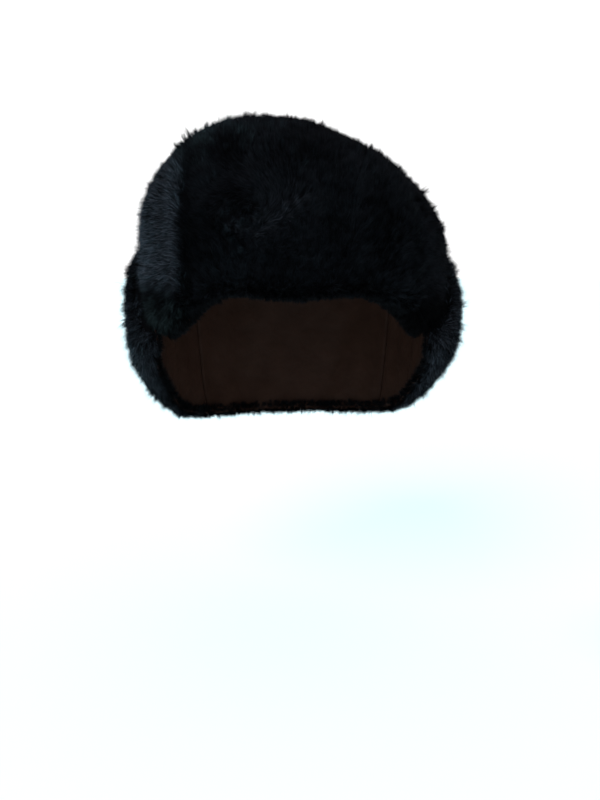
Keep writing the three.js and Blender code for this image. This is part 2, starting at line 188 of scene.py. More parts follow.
# How far hair tips are drawn to the tip of their tuft, in fur without painted light and in fur with it
TUFT_PULL = (0.34, 0.15)
SPIKE_LEAN = 0.6
SPIKE_SIZE = 1.2
BLADE_ROLL = 0.5
BLADE_WIDTHS = (0.7, 1.25)
# Painted glints: their share of the hairs in fur with painted light, and how much wider and lighter they are
PAINTED_GLINT_SHARE = 0.1
PAINTED_GLINT_WIDTH = 0.8
PAINTED_GLINT_TONE = 2.6
MEAN_TONE = 0.5
# How far the tone of fur with painted light dips, so that its painted glints stand out
LIGHT_DIP = 0.32
HIGHEST_TONE = 3
# What is cut from the root end of a lint hair
LINT_CUT = 0.8
# Distances from a wisp at which the lay is all its own and no longer its own, and likewise its painted sheen
WISP_LAY = (3 * MM, 9 * MM)
WISP_LIGHT = (0.5 * MM, 3 * MM)
# Painted sheen on the wisps: the share of tufts and hairs it lightens and by how much; painted shade at
# partings
WISP_TUFTS = 0.7
WISP_HAIRS = 0.4
PAINTED_WISP_SHEEN = 2.0
PAINTED_PARTING_SHADE = 0.45
# How far fur faces the key light, as its normal's share to the wearer's right, from none to full; it gets
# painted shade
KEYWARD = (0.25, 0.7)
# Satin in a lining: its outermost skin, and its body with the wadding
SATIN_SKIN = 0.2 * MM
SATIN_BODY = 1.2 * MM


def linear(code):
    """Linear colour of an sRGB hex value."""
    parts = [int(code[k:k + 2], 16) / 255 for k in (0, 2, 4)]
    return [p / 12.92 if p <= 0.04045 else ((p + 0.055) / 1.055) ** 2.4 for p in parts]


def length(name, description, value):
    """A size in metres, shown in the user's length unit."""
    return FloatProperty(name=name, description=description, default=value, unit="LENGTH", precision=4)


def colour(name, description, code):
    """A colour from an sRGB hex value."""
    return FloatVectorProperty(
        name=name, description=description, default=linear(code), subtype="COLOR", size=3, min=0, max=1
    )


class HatSizes(PropertyGroup):
    """Sizes of the hat's form."""

    half_width: length(
        "Half width", "Half the head opening's width inside",
        (LINING_BOX[1].x - LINING_BOX[0].x) / 2 - LINING_WALL,
    )
    half_length: length(
        "Half length", "Half the head opening's length inside",
        (LINING_BOX[1].y - LINING_BOX[0].y) / 2 - LINING_WALL,
    )
    crown_rise: length("Crown rise", "Height of the crown inside", LINING_BOX[1].z - LINING_WALL)
    flap_drop: length("Flap drop", "How far the neck flap hangs below the brim", -NECK_BOX[0].z)
    seam_rise: length("Seam rise", "Height of the seam between crown and flaps", 28 * MM)
    temple_drop: length("Temple drop", "How far the crown reaches down at the temples", 25 * MM)
    ear_room: length("Ear room", "How far the flaps swell out over the ears", 16 * MM)
    front_rise: length("Front flap rise", "Height of the turned-up front flap", 84 * MM)
    fur_pile: length("Crown fur", "Depth of the crown's fur", 16 * MM)
    flap_pile: length("Flap fur", "Depth of the ear and neck flaps' fur", 15 * MM)
    front_pile: length("Front flap fur", "Depth of the front flap's fur", 16 * MM)


class FurLook(PropertyGroup):
    """How the fur grows."""

    hair_length: length("Hair length", "Length of a hair above the underfur", 6.5 * MM)
    hair_width: length("Hair width", "Width at its root of a wisp of hairs drawn as one", 0.4 * MM)
    tuft_spacing: length("Tuft spacing", "Distance between the tufts that hairs gather in", 1.9 * MM)
    ruffle_length: length("Ruffle length", "Size of the waves in the lay of the fur", 22 * MM)
    lean: FloatProperty(
        name="Lean", description="How far the hairs lean over from upright",
        default=math.radians(50), subtype="ANGLE",
    )
    underfur: FloatProperty(
        name="Underfur", description="Depth of the dense underfur as a share of the pile",
        default=0.7, subtype="FACTOR", min=0, max=1,
    )
    tip_share: FloatProperty(
        name="Tip share", description="How much of the tip colour most hairs show",
        default=0.23, subtype="FACTOR", min=0, max=1,
    )
    lint_share: FloatProperty(name="Lint", description="Share of hairs that are bright lint", default=0.0006)
    spike_share: FloatProperty(name="Spikes", description="Share of tufts that stand proud", default=0.08)
    hairs_per_mm2: FloatProperty(name="Density", description="Hairs for each square millimetre", default=6.2)
    seed: IntProperty(name="Seed", description="Start of the random draws", default=7)


class HatColours(PropertyGroup):
    """Colours of the hat and its stage."""

    fur_root: colour("Fur roots", "Colour deep in the fur", "030304")
    fur_tip: colour("Fur tips", "Colour of the brightest hair tips", "474c55")
    lining: colour("Lining", "Colour of the satin lining", "2d1c16")
    backing: colour("Flap backing", "Colour of the cotton behind the front flap", "1d1614")
    floor: colour("Floor", "Colour of the floor", "f4f4f4")


def read(rows, key, column, at):
    """Values of a table's column between its rows, by a cubic that never overshoots a row."""
    xs, ys = rows[key], rows[column]
    at = np.clip(at, xs[0], xs[-1])
    k = np.clip(np.searchsorted(xs, at, side="right") - 1, 0, len(xs) - 2)
    slope = np.diff(ys) / np.diff(xs)
    product = slope[:-1] * slope[1:]
    total = np.where(product > 0, slope[:-1] + slope[1:], 1)
    tangent = np.concatenate([slope[:1], np.where(product > 0, 2 * product / total, 0), slope[-1:]])
    span = xs[k + 1] - xs[k]
    t = (at - xs[k]) / span
    rest = 1 - t
    return (
        ys[k] * (1 + 2 * t) * rest**2
        + ys[k + 1] * (3 - 2 * t) * t**2
        + tangent[k] * span * t * rest**2
        - tangent[k + 1] * span * t**2 * rest
    )


def read_side(rows, key, turn, at):
    """A table's value for the wearer's right or left, by the sign of the turn."""
    return np.where(turn < 0, read(rows, key, "right", at), read(rows, key, "left", at))


def wrap(turn):
    return (turn + 180) % 360 - 180


def lerp(a, b, t):
    return a + (b - a) * t


def smooth(low, high, value):
    """0 below low and 1 above high, with a soft step between."""
    t = np.clip((value - low) / (high - low), 0, 1)
    return t * t * (3 - 2 * t)


def band(value, start, full, fade, end):
    """1 from full to fade and 0 outside start and end, with soft steps between."""
    return smooth(start, full, value) * (1 - smooth(fade, end, value))


def bell(distance, reach):
    """1 at no distance, falling off evenly both ways."""
    return np.exp(-((distance / reach) ** 2))


def rounded(distance, reach):
    """Quarter round that rises from 0 at an edge to 1 at reach from it."""
    t = np.clip(distance / reach, 0, 1)
    return np.sqrt(t * (2 - t))


def unit(vectors):
    size = np.linalg.norm(vectors, axis=-1, keepdims=True)
    return vectors / np.where(size > 0, size, 1)


def ripple(points, wave, seed):
    """Smooth wandering values of about -1 to 1, with features of that size."""
    draw = np.random.default_rng(seed)
    waves = 5
    total = 0
    for _ in range(waves):
        direction = unit(draw.normal(size=3)) * 2 * math.pi / (wave * draw.uniform(0.7, 1.5))
        total = total + np.sin(points @ direction + draw.uniform(0, 2 * math.pi))
    return total / math.sqrt(waves)


class Form:
    """The hat's faces from its sizes. Turn is in degrees, 0 in front and positive to the wearer's left."""

    way_parts = 60

    def __init__(self, sizes):
        self.size = sizes
        self.straight = sizes.seam_rise + SHOULDER_RISE
        levels = np.linspace(0, 1, self.way_parts + 1)
        back = self.crown_face(np.full_like(levels, 180), levels)
        self.dome_way = np.linalg.norm(np.diff(back, axis=0), axis=1).sum()
        self.levels = levels
        self.rises = read(DOME, "level", "rise", levels)

    def seam_height(self, turn):
        at = np.abs(wrap(turn))
        share = read_side(SEAM, "turn", wrap(turn), at)
        height = share * np.where(share < 0, self.size.temple_drop, self.size.seam_rise)
        return height + BRIM_ARCH * read(SEAM, "turn", "arch", at)

    def crown_face(self, turn, level):
        """Points on the inner face of the crown."""
        angle = np.radians(turn)
        power = 2 / OVAL_FULLNESS
        sine = np.sign(np.sin(angle)) * np.abs(np.sin(angle)) ** power
        cosine = np.sign(np.cos(angle)) * np.abs(np.cos(angle)) ** power
        right, left = (self.size.half_width * read(DOME, "level", side, level) for side in ("right", "left"))
        front, back = (self.size.half_length * read(DOME, "level", side, level) for side in ("front", "back"))
        rise = read(DOME, "level", "rise", level)
        return np.stack([
            (left - right) / 2 + (left + right) / 2 * sine,
            (back - front) / 2 - (back + front) / 2 * cosine,
            self.straight + rise * (self.size.crown_rise - self.straight),
        ], axis=-1)

    def outwards(self, turn, level):
        turn_probe, level_probe = 0.5, 0.01
        dome = np.clip(level, 0, 1)
        around = self.crown_face(turn + turn_probe, dome) - self.crown_face(turn - turn_probe, dome)
        up = self.crown_face(turn, np.clip(dome + level_probe, 0, 1))
        up = up - self.crown_face(turn, np.clip(dome - level_probe, 0, 1))
        flat = np.stack([around[..., 1], -around[..., 0], np.zeros_like(around[..., 0])], axis=-1)
        return unit(np.where(np.asarray(level)[..., None] <= 0, flat, np.cross(around, up)))

    def crown_point(self, turn, level, out, edge=None):
        """Points on the crown: level -1 at its lower edge, 0 where its upright sides end, 1 at the top."""
        edge = self.seam_height(turn) if edge is None else edge
        point = self.crown_face(turn, level)
        point[..., 2] = np.where(level < 0, lerp(edge, self.straight, level + 1), point[..., 2])
        return point + self.outwards(turn, level) * np.asarray(out)[..., None]

    def crown_way(self, turn, share):
        """Level at a share of the way up the crown, and the way from its lower edge."""
        upright = self.straight - self.seam_height(turn)
        way = share * (upright + self.dome_way)
        return np.where(way < upright, way / upright - 1, (way - upright) / self.dome_way), way

    def flap_point(self, turn, drop, out):
        """Points on an ear or neck flap: drop 0 at the seam, 1 at the hem."""
        at = np.abs(wrap(turn))
        side_drop = np.where(
            wrap(turn) < 0, read(HEM, "turn", "right_drop", at), read(HEM, "turn", "left_drop", at)
        )
        z = lerp(self.seam_height(turn) - SEAM_GAP, -self.size.flap_drop * side_drop, drop)
        room = self.size.ear_room * read_side(HEM, "turn", wrap(turn), at)
        down = (self.size.seam_rise - z) / (self.size.seam_rise + self.size.flap_drop)
        point = self.crown_face(turn, np.zeros_like(z))
        point[..., 2] = z
        left_share = (1 + np.sin(np.radians(turn))) / 2
        swell = room * lerp(read(SWELL, "down", "right", down), read(SWELL, "down", "left", down), left_share)
        return point + self.outwards(turn, np.zeros_like(z)) * (out + swell)[..., None]

    def front_top(self, across):
        return self.size.front_rise * read(FRONT_TOP, "across", "top", across)

    def front_point(self, across, up, out):
        """Points on the turned-up front flap: across from -1 to 1, up from its fold to its top edge."""
        top = self.front_top(across)
        dome = np.clip((top - self.straight) / (self.size.crown_rise - self.straight), 0, HIGHEST_FLAP_TOP)
        top_level = np.interp(dome, self.rises, self.levels)
        straight = self.straight + FRONT_LIP
        height = up * (top + FRONT_LIP)
        above = top_level * (height - straight) / (top - self.straight)
        level = np.where(height < straight, height / straight - 1, above)
        turn = across * read_side(FRONT_SIDE, "level", across, level)
        return self.crown_point(turn, level, out, self.seam_height(turn) - FRONT_LIP)

    def beside_front(self, turn, level):
        """Distance outside the front flap's edge on the crown, below 0 behind the flap."""
        side = read_side(FRONT_SIDE, "level", wrap(turn), level)
        beyond = (np.abs(wrap(turn)) - side) * math.radians(1) * self.size.half_length
        across = np.clip(wrap(turn) / side, -1, 1)
        return np.maximum(beyond, self.crown_face(turn, level)[..., 2] - self.front_top(across))


def new_object(name, mesh, material):
    """Puts a mesh in the scene, riding on the hat's one body."""
    made = bpy.data.objects.new(name, mesh)
    bpy.context.scene.collection.objects.link(made)
    mesh.materials.append(material)
    mesh.polygons.foreach_set("use_smooth", np.ones(len(mesh.polygons), bool))
    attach(made, "root")
    return made


def wall_mesh(name, outer, inner, ring=False, dome=False):
    """Closed wall between two grids of points, rows by columns. A ring joins its last column to its first."""
    rows, columns = outer.shape[:2]
    points = np.concatenate([outer.reshape(-1, 3), inner.reshape(-1, 3)])
    faces = []
    index = np.arange(rows * columns).reshape(rows, columns)
    ahead = np.roll(index, -1, axis=1)
    last = columns if ring else columns - 1
    a, b = index[:-1, :last], ahead[:-1, :last]
    c, d = ahead[1:, :last], index[1:, :last]
    shift = rows * columns
    outside_faces = np.stack([a, b, c, d], axis=-1).reshape(-1, 4)
    faces += outside_faces.tolist()
    faces += (outside_faces[:, ::-1] + shift).tolist()
    low, low_next = index[0, :last], ahead[0, :last]
    faces += np.stack([low_next, low, low + shift, low_next + shift], axis=-1).tolist()
    if dome:
        faces.append(index[-1].tolist())
        faces.append((index[-1][::-1] + shift).tolist())
    else:
        high, high_next = index[-1, :last], ahead[-1, :last]
        faces += np.stack([high, high_next, high_next + shift, high + shift], axis=-1).tolist()
    if not ring:
        first, final = index[:, 0], index[:, -1]
        faces += np.stack([first[:-1], first[1:], first[1:] + shift, first[:-1] + shift], axis=-1).tolist()
        faces += np.stack([final[1:], final[:-1], final[:-1] + shift, final[1:] + shift], axis=-1).tolist()
    mesh = bpy.data.meshes.new(name)
    mesh.from_pydata(points.tolist(), [], faces)
    if mesh.validate():
        raise ValueError(f"{name} has faces that had to be mended")
    corners = points[outside_faces]
    volume = np.einsum("ij,ij->i", corners[:, 0], np.cross(corners[:, 1], corners[:, 2])).sum()
    if volume < 0:
        mesh.flip_normals()
    return mesh


class Hide:
    """A furred face as a grid. At each place it has a normal, the way down the fur, the hair's length and
    density, how far it leans as a share of the look's lean, and the painted light and shade on its tips."""

    def __init__(self, points, down_sign, hair, weight=None, ring=False):
        self.points = points
        padded = np.concatenate([points[:, -2:-1], points, points[:, 1:2]], axis=1) if ring else points
        around = np.gradient(padded, axis=1)
        around = around[:, 1:-1] if ring else around
        up = np.gradient(points, axis=0)
        normal = unit(np.cross(around, up))
        away = points - points.mean(axis=(0, 1))
        if (normal * away).sum() < 0:
            normal = -normal
        self.normal = normal
        self.down = unit(up * down_sign)
        self.hair = np.broadcast_to(hair, points.shape[:2])
        self.weight = np.ones(points.shape[:2]) if weight is None else weight
        self.lean = np.ones(points.shape[:2])
        self.light = np.ones(points.shape[:2])

    def part(self, columns):
        """The same hide between some of its columns."""
        cut = copy.copy(self)
        for name in ("points", "normal", "down", "hair", "weight", "lean", "light"):
            setattr(cut, name, getattr(self, name)[:, columns])
        return cut

    def areas(self):
        one = self.points[1:, 1:] - self.points[:-1, :-1]
        other = self.points[1:, :-1] - self.points[:-1, 1:]
        weight = self.weight[:-1, :-1] + self.weight[1:, :-1] + self.weight[:-1, 1:] + self.weight[1:, 1:]
        return np.linalg.norm(np.cross(one, other), axis=-1) / 2 * weight / 4

    def sample(self, count, draw):
        """Random places with even density: root, normal, down, hair length, lean and painted lightness of
        each.
        """
        areas = self.areas()
        cell = draw.choice(areas.size, size=count, p=areas.ravel() / areas.sum())
        row, column = np.divmod(cell, areas.shape[1])
        v, u = draw.random(count), draw.random(count)

        def mixed(field):
            t, s = (v[:, None], u[:, None]) if field.ndim == 3 else (v, u)
            low = lerp(field[row, column], field[row, column + 1], s)
            return lerp(low, lerp(field[row + 1, column], field[row + 1, column + 1], s), t)

        fields = (self.points, self.normal, self.down, self.hair, self.lean, self.light)
        root, normal, down, *rest = (mixed(field) for field in fields)
        return root, unit(normal), unit(down), *rest


def from_wisps(places):
    """Distance of places from the front flap's light wisps, seen from the front, and the wisps' way there."""
    count = len(WISPS["x"])
    steps = 60
    along = np.linspace(0, count - 1, steps)
    line = np.stack([np.interp(along, np.arange(count), WISPS[key]) for key in "xz"], axis=-1) * MM
    away = np.linalg.norm(places[:, None, ::2] - line, axis=-1)
    way = unit(np.gradient(line, axis=0))[away.argmin(axis=1)]
    return away.min(axis=1), np.insert(way, 1, 0, axis=1)


def wander(what, root, look):
    """How far a quality of the fur wanders at each root."""
    amount, wave, seed = WANDER[what]
    return amount * ripple(root, look.ruffle_length * wave, seed)


def lay_of(root, normal, down, look, swirl=None):
    """Direction in which the fur lies: down the hide, wandering in ruffles, and round a swirl."""
    side = np.cross(normal, down)
    angle = wander("lay", root, look) + wander("fine lay", root, look)
    lay = down * np.cos(angle)[:, None] + side * np.sin(angle)[:, None]
    if swirl is not None:
        centre, reach = swirl
        away = root - centre
        share = bell(np.linalg.norm(away, axis=1), reach)[:, None]
        around = unit(np.cross(normal, away))
        lay = lerp(lay, around, share)
        from_wisp, way = from_wisps(root)
        lay = lerp(lay, way, (1 - smooth(*WISP_LAY, from_wisp))[:, None])
    return unit(lay - normal * (lay * normal).sum(axis=1, keepdims=True))


def gather(root, area, look, draw):
    """Tufts at some of the roots, and the number of the tuft that each hair belongs to."""
    count = max(FEWEST_TUFTS, int(area / look.tuft_spacing**2))
    chosen = draw.choice(len(root), size=count, replace=False)
    tree = kdtree.KDTree(count)
    for number, place in enumerate(root[chosen].tolist()):
        tree.insert(place, number)
    tree.balance()
    return chosen, np.array([tree.find(place)[1] for place in root.tolist()])


def swirl_sheen_and_shade(root, tuft_root, own, draw):
    """Painted light and shade round the front flap's swirl: painted sheen along its wisps, painted shade
    where the fur parts.
    """
    from_wisp, _ = from_wisps(tuft_root)
    wisp = draw.random(len(tuft_root)) < WISP_TUFTS * (1 - smooth(*WISP_LIGHT, from_wisp))
    change = PAINTED_WISP_SHEEN * (wisp[own] & (draw.random(len(root)) < WISP_HAIRS))
    for x, z, reach in zip(*PARTINGS.values()):
        away = np.hypot(root[:, 0] - x * MM, root[:, 2] - z * MM)
        change = change - PAINTED_PARTING_SHADE * bell(away, reach * MM)
    return change


def blade_mesh(name, points, tone):
    """Triangles with no shared corners: for each, the two corners at its root and its tip, and its tone."""
    count = len(points)
    mesh = bpy.data.meshes.new(name)
    mesh.vertices.add(count * 3)
    mesh.vertices.foreach_set("co", points.astype(np.float32).ravel())
    mesh.loops.add(count * 3)
    mesh.loops.foreach_set("vertex_index", np.arange(count * 3, dtype=np.int32))
    mesh.polygons.add(count)
    mesh.polygons.foreach_set("loop_start", np.arange(count, dtype=np.int32) * 3)
    mesh.update(calc_edges=True)
    for key, values in (("tip", np.tile([0, 0, 1], count)), ("tone", np.repeat(tone, 3))):
        attribute = mesh.attributes.new(key, "FLOAT", "POINT")
        attribute.data.foreach_set("value", values.astype(np.float32))
    return mesh


def grow(name, hide, look, material, swirl=None, density=1.0):
    """Grows hairs on a hide: each is a tapered blade, and its tip leans to the tip of its tuft."""
    draw = np.random.default_rng(look.seed + SEEDS[name])
    area = hide.areas().sum()
    count = int(area / MM**2 * look.hairs_per_mm2 * density)
    root, normal, down, hair, lean_share, light = hide.sample(count, draw)
    chosen, own = gather(root, area, look, draw)
    lay = lay_of(root, normal, down, look, swirl)

    # How far the hide's painted light lifts the fur: it widens the spreads and brings the painted glints
    vivid = DARK_SPREAD + LIGHT_SPREAD * np.clip(light - 1, 0, 2)
    tuft_turn, tuft_lean, tuft_size = (
        draw.normal(0, TUFT_SPREAD[what], len(chosen))[own] for what in ("turn", "lean", "size")
    )
    turn = vivid * (tuft_turn + draw.normal(0, HAIR_SPREAD["turn"], count))
    lean = look.lean * lean_share + tuft_lean + draw.normal(0, HAIR_SPREAD["lean"], count)
    lean += wander("lean", root, look)
    spike = (draw.random(len(chosen)) < look.spike_share)[own]
    lean = np.where(spike, lean * SPIKE_LEAN, lean)
    size = hair * (1 + tuft_size) * (1 + draw.normal(0, HAIR_SPREAD["size"], count))
    size *= np.where(spike, SPIKE_SIZE, 1) * (1 + wander("size", root, look))
    side = np.cross(normal, lay)
    lay = lay * np.cos(turn)[:, None] + side * np.sin(turn)[:, None]

    sunk = root - normal * (hair * SUNK_SHARE)[:, None]
    way = normal * np.cos(lean)[:, None] + lay * np.sin(lean)[:, None]
    tip = sunk + way * (size * (1 + SUNK_SHARE))[:, None]
    tip = lerp(tip, tip[chosen][own], lerp(*TUFT_PULL, vivid - DARK_SPREAD)[:, None])

    axis = unit(tip - sunk)
    flat = unit(np.cross(axis, normal))
    edge = unit(np.cross(axis, flat))
    roll = draw.normal(0, BLADE_ROLL, count)[:, None]
    width = (flat * np.cos(roll) + edge * np.sin(roll)) * look.hair_width / 2
    # Painted glints: some hairs in fur with painted light, drawn wider and lighter
    painted_glint = (vivid - DARK_SPREAD) * (draw.random(count) < PAINTED_GLINT_SHARE)
    width *= (draw.uniform(*BLADE_WIDTHS, count) * (1 + PAINTED_GLINT_WIDTH * painted_glint))[:, None]
    points = np.stack([sunk - width, sunk + width, tip], axis=1)
    lint = draw.random(count) < look.lint_share
    points[lint, :2] = lerp(points[lint, :2], tip[lint][:, None], LINT_CUT)

    tuft_tone = TUFT_SPREAD["tone"] * draw.normal(size=len(chosen))[own]
    hair_tone = HAIR_SPREAD["tone"] * draw.normal(size=count)
    # Tone: each hair's own random tone, lowered in fur with painted light, plus painted glints
    tone = MEAN_TONE - LIGHT_DIP * (vivid - DARK_SPREAD) + vivid * (tuft_tone + hair_tone)
    tone += PAINTED_GLINT_TONE * painted_glint + wander("tone", root, look)
    # Painted sheen and shade round the swirl
    if swirl is not None:
        tone += swirl_sheen_and_shade(root, root[chosen], own, draw)
    # The hide's painted light and shade scale the tone
    tone = np.clip(tone, 0, HIGHEST_TONE) * light * look.tip_share
    tone[lint] = 1
    return new_object(name, blade_mesh(name, points, tone), material)


def node(tree, kind, inputs=None, **settings):
    """Adds a node. Inputs maps its sockets to values or to other nodes' outputs."""
    made = tree.nodes.new(kind)
    for name, value in settings.items():
        setattr(made, name, value)
    for key, value in (inputs or {}).items():
        if isinstance(value, bpy.types.NodeSocket):
            tree.links.new(value, made.inputs[key])
        else:
            made.inputs[key].default_value = value
    return made


def new_material(name):
    """An empty material with its shader, ready to be finished."""
    material = bpy.data.materials.new(name)
    material.use_nodes = True
    return material, material.node_tree, material.node_tree.nodes["Principled BSDF"]


def blend(tree, share, dark, light):
    """Colour from dark to light by a share from 0 to 1."""
    inputs = {"Factor": share, "A": [*dark, 1], "B": [*light, 1]}
    return node(tree, "ShaderNodeMix", inputs, data_type="RGBA").outputs["Result"]


def bump(tree, height, strength, distance, **normal):
    """Fine relief of that depth, over another relief's normal where one is given."""
    inputs = {"Height": height, "Strength": strength, "Distance": distance, **normal}
    return node(tree, "ShaderNodeBump", inputs).outputs["Normal"]


def shaded(colour, share):
    return [part * share for part in colour]


def rabbit_fur(colours):
    """Dyed rabbit fur, combed and left soft: near black at the roots, cool grey at the tips, which carry
    painted light and shade.
    """
    if "Dyed rabbit fur" in bpy.data.materials:
        return bpy.data.materials["Dyed rabbit fur"]
    material, tree, shader = new_material("Dyed rabbit fur")
    tip = node(tree, "ShaderNodeAttribute", attribute_name="tip").outputs["Fac"]
    tone = node(tree, "ShaderNodeAttribute", attribute_name="tone").outputs["Fac"]
    # Tips lightened by the hair's tone: its own random tone, and the painted light, shade, sheen and glints
    tone_and_painted_light = node(tree, "ShaderNodeMath", {0: tip, 1: tone}, operation="MULTIPLY").outputs[0]
    tree.links.new(blend(tree, tone_and_painted_light, colours.fur_root, colours.fur_tip), shader.inputs["Base Color"])
    shader.inputs["Roughness"].default_value = 0.5
    shader.inputs["IOR"].default_value = 1.55
    shader.inputs["Specular IOR Level"].default_value = 0.01
    return material


def underfur(colours):
    """The dense wool of the same pelt, matted and light-swallowing."""
    if "Rabbit underfur" in bpy.data.materials:
        return bpy.data.materials["Rabbit underfur"]
    material, tree, shader = new_material("Rabbit underfur")
    place = node(tree, "ShaderNodeTexCoord").outputs["Object"]
    wool = node(
        tree, "ShaderNodeTexNoise", {"Vector": place, "Scale": 1 / (2 * MM), "Detail": 6, "Roughness": 0.7},
    ).outputs["Fac"]
    light = shaded(colours.fur_tip, 0.05)
    tree.links.new(blend(tree, wool, colours.fur_root, light), shader.inputs["Base Color"])
    tree.links.new(bump(tree, wool, 0.8, 1 * MM), shader.inputs["Normal"])
    shader.inputs["Roughness"].default_value = 0.9
    shader.inputs["Specular IOR Level"].default_value = 0.05
    return material


def satin(colours):
    """Woven viscose satin: long floats one way give a soft sheen, and the sewing draws it into puckers, with
    painted shade and light along them.
    """
    if "Viscose satin" in bpy.data.materials:
        return bpy.data.materials["Viscose satin"]
    material, tree, shader = new_material("Viscose satin")
    place = node(tree, "ShaderNodeTexCoord").outputs["Object"]
    # Threads are 0.15 mm apart, drawn at 0.6 mm so that they show
    stretch = node(tree, "ShaderNodeMapping", {"Vector": place, "Scale": (1, 1, 0.12)}).outputs[0]
    threads = {"Vector": stretch, "Scale": 1 / (0.6 * MM), "Detail": 2}
    floats = node(tree, "ShaderNodeTexNoise", threads).outputs["Fac"]
    puckers = {"Vector": place, "Scale": 1 / (14 * MM), "Detail": 3}
    folds = node(tree, "ShaderNodeTexNoise", puckers).outputs["Fac"]
    # Painted shade and light along the puckers: darker and lighter copies of the lining colour
    painted_pucker_shading = blend(tree, folds, shaded(colours.lining, 0.72), shaded(colours.lining, 1.3))
    weave = bump(tree, floats, 0.25, 0.1 * MM)
    rough = node(tree, "ShaderNodeMapRange", {"Value": floats, "To Min": 0.36, "To Max": 0.52})
    tree.links.new(painted_pucker_shading, shader.inputs["Base Color"])
    tree.links.new(bump(tree, folds, 0.6, 2 * MM, Normal=weave), shader.inputs["Normal"])
    tree.links.new(rough.outputs["Result"], shader.inputs["Roughness"])
    shader.inputs["Specular IOR Level"].default_value = 0.03
    return material


def cotton(colours):
    """Plain woven cotton behind the front flap: matt, with its threads crossing."""
    if "Cotton drill" in bpy.data.materials:
        return bpy.data.materials["Cotton drill"]
    material, tree, shader = new_material("Cotton drill")
    place = node(tree, "ShaderNodeTexCoord").outputs["Object"]
    # Threads are 0.3 mm apart, drawn at 0.8 mm so that they show
    weave = {"Vector": place, "Scale": 1 / (0.8 * MM), "Distortion": 1.5}
    threads = node(tree, "ShaderNodeTexWave", weave).outputs["Fac"]
    tint = blend(tree, threads, shaded(colours.backing, 0.8), shaded(colours.backing, 1.15))
    tree.links.new(tint, shader.inputs["Base Color"])
    tree.links.new(bump(tree, threads, 0.4, 0.1 * MM), shader.inputs["Normal"])
    shader.inputs["Roughness"].default_value = 0.85
    return material


def edge_spaced(count):
    """Shares from 0 to 1 that lie closer together near both ends."""
    t = np.linspace(0, 1, count)
    return lerp(t, (1 - np.cos(np.pi * t)) / 2, 0.6)


def grid(columns, rows):
    """Two fields over a grid of rows by columns: the column's value and the row's."""
    return np.meshgrid(columns, rows)


class HAT_OT_crown_lining(Operator):
    """Satin lining of the head hollow, in six gores sewn together"""

    bl_idname = "hat.crown_lining"
    bl_label = "Crown lining"
    columns = 168
    rows = 36
    gores = 6
    seam_depth = 1.1 * MM
    seam_width = 2.2 * MM
    seam_cut = 0.8
    fullness = 1.3 * MM
    fullness_wave = 28 * MM
    fullness_seed = 31
    gore_round = 14 * MM
    hem_round = 9 * MM
    edge_round = 3 * MM

    def execute(self, context):
        form = Form(context.scene.hat_sizes)
        turn, share = grid(np.arange(self.columns) * 360 / self.columns, edge_spaced(self.rows) * DOME_END)
        level, way = form.crown_way(turn, share)
        face = form.crown_face(turn, level)
        gore = 360 / self.gores
        from_seam = np.abs((turn + gore / 2) % gore - gore / 2)
        radius = np.hypot(face[..., 0], face[..., 1])
        distance = np.radians(from_seam) * radius
        groove = self.seam_depth * bell(distance, self.seam_width)
        full = self.fullness * (0.5 + 0.5 * ripple(face, self.fullness_wave, self.fullness_seed))
        full *= rounded(distance, self.gore_round) * rounded(way, self.hem_round)
        wall = SATIN_BODY * rounded(way, self.edge_round) - groove * self.seam_cut + full
        inner = form.crown_point(turn, level, LINING_WALL - SATIN_SKIN - np.maximum(wall, 0))
        outer = form.crown_point(turn, level, np.full_like(level, LINING_WALL))
        mesh = wall_mesh("crown_lining_satin", outer, inner, ring=True, dome=True)
        made = new_object("crown_lining_satin", mesh, satin(context.scene.hat_colours))
        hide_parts("crown_lining")
        return {"FINISHED"}


def flap_turns(name):
    """Turns between which a flap lies, half a seam gap from its neighbour."""
    sizes = bpy.context.scene.hat_sizes
    margin = math.degrees(SEAM_GAP / 2 / sizes.half_length)
    return {
        "ear_flap_left": (FLAP_FRONT_TURN, FLAP_SPLIT_TURN - margin),
        "neck_flap": (FLAP_SPLIT_TURN + margin, 360 - FLAP_SPLIT_TURN - margin),
        "ear_flap_right": (360 - FLAP_SPLIT_TURN + margin, 360 - FLAP_FRONT_TURN),
    }[name]


class HAT_OT_flap_linings(Operator):
    """Satin linings of the two ear flaps and the neck flap"""

    bl_idname = "hat.flap_linings"
    bl_label = "Flap linings"
    degrees_a_column = 1.4
    rows = 34
    fullness = 1.6 * MM
    fullness_wave = 22 * MM
    fullness_seed = 41
    # How much of its height a place counts for in the waves, so that they run down the flap
    wave_run = 0.35
    middle_round = 12 * MM
    side_round = 1 * MM
    end_round = 1.5 * MM

    def execute(self, context):
        form = Form(context.scene.hat_sizes)
        for name in FLAPS:
            start, end = flap_turns(name)
            columns = round((end - start) / self.degrees_a_column)
            across, drop = grid(edge_spaced(columns), edge_spaced(self.rows))
            turn = lerp(start, end, across)
            face = form.flap_point(turn, drop, np.zeros_like(turn))
            arc = math.radians(end - start) * form.size.half_length
            from_side = np.minimum(across, 1 - across) * arc
            height = face[0, :, 2] - face[-1, :, 2]
            from_edge = np.minimum(drop, 1 - drop) * height
            waves = ripple(face * [1, 1, self.wave_run], self.fullness_wave, self.fullness_seed)
            full = (0.45 + 0.4 * waves) * self.fullness
            full *= rounded(from_side, self.middle_round) * rounded(from_edge, self.middle_round)
            wall = SATIN_BODY * rounded(from_side, self.side_round) * rounded(from_edge, self.end_round)
            inner = form.flap_point(turn, drop, LINING_WALL - SATIN_SKIN - wall - full)
            outer = form.flap_point(turn, drop, np.full_like(turn, LINING_WALL))
            mesh = wall_mesh(f"{name}_satin", outer, inner)
            made = new_object(f"{name}_satin", mesh, satin(context.scene.hat_colours))
            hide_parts(f"{name}_lining")
        return {"FINISHED"}


